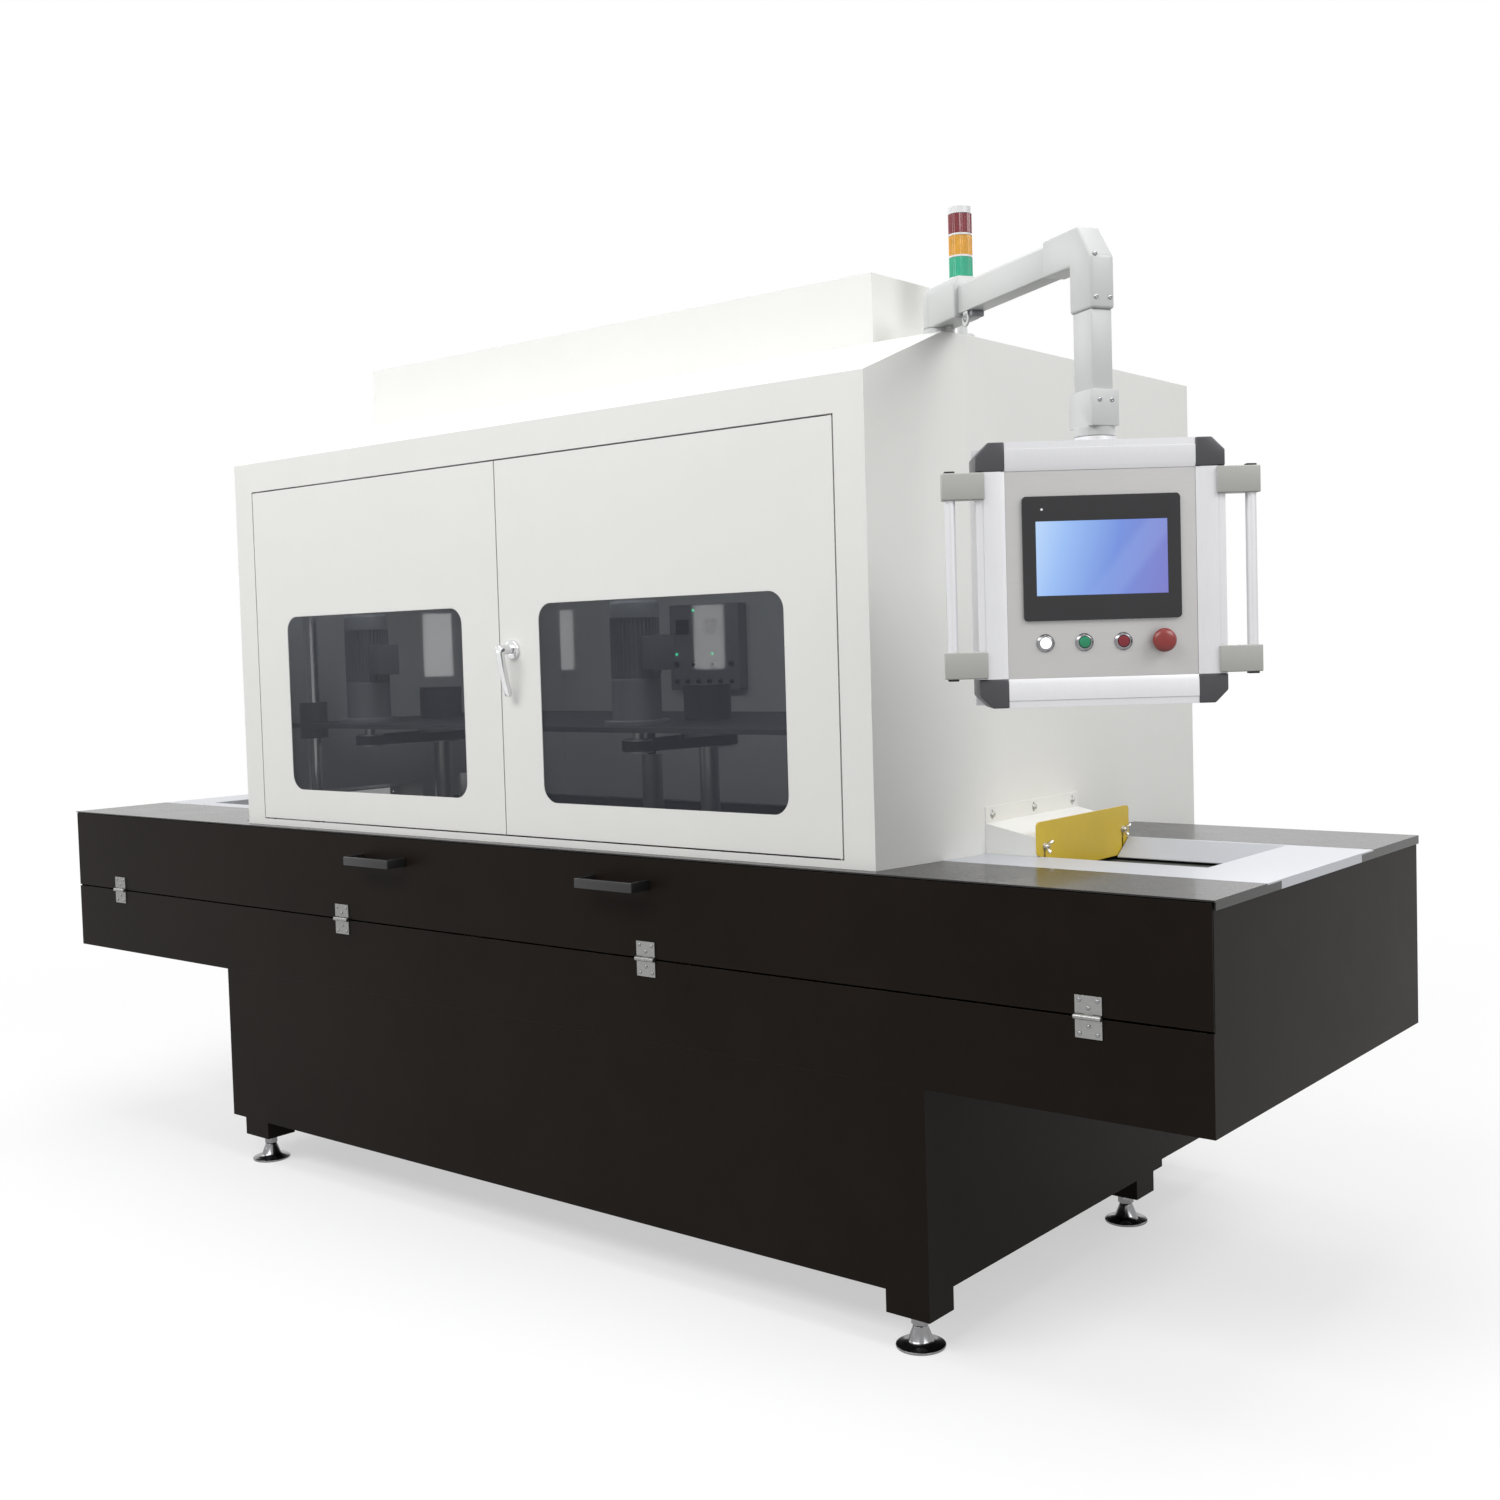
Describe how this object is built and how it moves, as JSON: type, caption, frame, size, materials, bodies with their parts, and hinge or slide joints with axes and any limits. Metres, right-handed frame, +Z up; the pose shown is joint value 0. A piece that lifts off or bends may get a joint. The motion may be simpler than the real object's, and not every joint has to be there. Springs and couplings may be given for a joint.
{
  "type": "sheet metal deburring machine",
  "caption": "Pass-through deburring machine with a belt table, brush heads in a windowed housing, a hinged front flap and a swinging control panel.",
  "frame": {"origin": "on the floor, under the middle of the overall box", "axes": "+X along the table towards the feed end, +Y from the front to the back, +Z up"},
  "size_m": [3.7586, 1.6366, 2.286],
  "materials": {
    "black_paint": "glossy, fine even coat",
    "white_paint": "semi-gloss powder coat",
    "yellow_paint": "semi-gloss",
    "motor_paint": "satin",
    "pale_coat": "satin powder coat",
    "steel": "fine brushed",
    "chrome": "polished",
    "aluminium": "satin anodised",
    "casting": "painted casting",
    "grey_casting": "satin",
    "grey_bracket": "satin",
    "belt": "matte",
    "pale_plastic": "satin",
    "lens": "glossy, ribbed; green, amber and red",
    "tinted_pane": "glossy tinted acrylic",
    "black_plastic": "satin",
    "screen": "glossy lit panel",
    "white_plastic": "glossy",
    "green_plastic": "glossy",
    "red_plastic": "satin"
  },
  "bodies": {
    "machine": {"base_cabinet": "black_paint", "levelling_feet": "chrome", "rear_cabinet": "black_paint", "table_box": "black_paint", "table_top": "black_paint", "feed_plate": "white_paint", "exit_plate": "white_paint", "feed_hood": "white_paint", "exit_hood": "white_paint", "hood_screws": "steel", "housing": "white_paint", "roof_box": "white_paint", "fixed_hinge_leaves": "steel", "belt_bed": "steel", "bearing_blocks": "casting", "belt_gearmotor": "motor_paint", "conveyor_belt": "belt", "guide_columns": "chrome", "lift_cylinders": "aluminium", "door_pivots": "steel", "light_body": "pale_plastic", "light_lenses": "lens", "swivel_base": "pale_coat", "rear_fittings": "white_paint"},
    "guard": {"feed_guard": "yellow_paint"},
    "left_leaf": {"left_door": "white_paint", "left_window": "tinted_pane"},
    "right_leaf": {"right_door": "white_paint", "right_window": "tinted_pane", "lever_base": "chrome"},
    "lever": {"door_lever": "chrome", "latch_cam": "steel"},
    "flap": {"front_flap": "black_paint", "flap_handles": "black_plastic", "flap_hinge_leaves": "steel"},
    "drive_end": {"drive_roller": "steel"},
    "idler_end": {"idler_roller": "steel"},
    "head": {"head_frame": "steel", "spindle_motors": "motor_paint", "timing_belts": "belt"},
    "left_motor_pulley": {"left_pulley": "steel"},
    "right_motor_pulley": {"right_pulley": "steel"},
    "left_brush": {"left_spindle": "steel"},
    "right_brush": {"right_spindle": "steel"},
    "arm": {"swivel_head": "pale_coat", "arm_tubes": "pale_coat", "arm_elbow": "pale_coat", "panel_coupling": "pale_coat"},
    "panel": {"panel_frame": "aluminium", "panel_corners": "grey_casting", "panel_face": "aluminium", "screen_bezel": "black_plastic", "screen_glass": "screen", "button_bezels": "steel", "grip_brackets": "grey_bracket", "grip_rods": "aluminium"},
    "white_push": {"white_button": "white_plastic"},
    "green_push": {"green_button": "green_plastic"},
    "red_push": {"red_button": "red_plastic"},
    "stop_push": {"stop_button": "red_plastic"}
  },
  "joints": [
    {"name": "guard_slide", "type": "slide", "parent": "machine", "child": "guard", "axis": [0, 0, 1], "range_m": [0, 0.04]},
    {"name": "left_door_hinge", "type": "hinge", "parent": "machine", "child": "left_leaf", "pos_m": [-0.91329, -0.56372, 1.385], "axis": [0, 0, -1], "range_deg": [0, 90]},
    {"name": "right_door_hinge", "type": "hinge", "parent": "machine", "child": "right_leaf", "pos_m": [1.03171, -0.56372, 1.385], "axis": [0, 0, 1], "range_deg": [0, 90]},
    {"name": "lever_turn", "type": "hinge", "parent": "right_leaf", "child": "lever", "pos_m": [0.09677, -0.57572, 1.391], "axis": [0, 1, 0], "range_deg": [0, 90]},
    {"name": "flap_hinge", "type": "hinge", "parent": "machine", "child": "flap", "pos_m": [-0.01929, -0.60992, 0.709], "axis": [1, 0, 0], "range_deg": [0, 155]},
    {"name": "drive_roller_spin", "type": "hinge", "parent": "machine", "child": "drive_end", "pos_m": [-1.7693, -0.04822, 0.8247], "axis": [0, 1, 0], "continuous": true},
    {"name": "idler_roller_spin", "type": "hinge", "parent": "machine", "child": "idler_end", "pos_m": [1.7307, -0.04822, 0.8247], "axis": [0, 1, 0], "continuous": true},
    {"name": "head_lift", "type": "slide", "parent": "machine", "child": "head", "axis": [0, 0, 1], "range_m": [0, 0.06]},
    {"name": "left_spindle_spin", "type": "hinge", "parent": "head", "child": "left_brush", "pos_m": [-0.80929, -0.04822, 1.15], "axis": [0, 0, 1], "continuous": true},
    {"name": "right_spindle_spin", "type": "hinge", "parent": "head", "child": "right_brush", "pos_m": [0.2287, -0.04822, 1.15], "axis": [0, 0, 1], "continuous": true},
    {"name": "left_pulley_spin", "type": "hinge", "parent": "head", "child": "left_motor_pulley", "pos_m": [-0.80929, -0.30472, 1.15], "axis": [0, 0, 1], "continuous": true},
    {"name": "right_pulley_spin", "type": "hinge", "parent": "head", "child": "right_motor_pulley", "pos_m": [0.2287, -0.30472, 1.15], "axis": [0, 0, 1], "continuous": true},
    {"name": "arm_swivel", "type": "hinge", "parent": "machine", "child": "arm", "pos_m": [1.1277, -0.31372, 2.05], "axis": [0, 0, 1], "range_deg": [-60, 80]},
    {"name": "panel_swivel", "type": "hinge", "parent": "arm", "child": "panel", "pos_m": [1.63433, -0.60622, 1.74], "axis": [0, 0, 1], "range_deg": [-120, 120]},
    {"name": "white_press", "type": "slide", "parent": "panel", "child": "white_push", "axis": [-0.628, 0.7782, 0], "range_m": [0, 0.004], "stiffness_N_per_m": 800, "springref_m": -0.001},
    {"name": "green_press", "type": "slide", "parent": "panel", "child": "green_push", "axis": [-0.628, 0.7782, 0], "range_m": [0, 0.004], "stiffness_N_per_m": 800, "springref_m": -0.001},
    {"name": "red_press", "type": "slide", "parent": "panel", "child": "red_push", "axis": [-0.628, 0.7782, 0], "range_m": [0, 0.004], "stiffness_N_per_m": 800, "springref_m": -0.001},
    {"name": "stop_press", "type": "slide", "parent": "panel", "child": "stop_push", "axis": [-0.628, 0.7782, 0], "range_m": [0, 0.005], "stiffness_N_per_m": 1200, "springref_m": -0.001}
  ],
  "couplings": [
    {"joint": "idler_roller_spin", "follows": "drive_roller_spin", "ratio": 1},
    {"joint": "left_pulley_spin", "follows": "left_spindle_spin", "ratio": 2},
    {"joint": "right_pulley_spin", "follows": "right_spindle_spin", "ratio": 2}
  ]
}
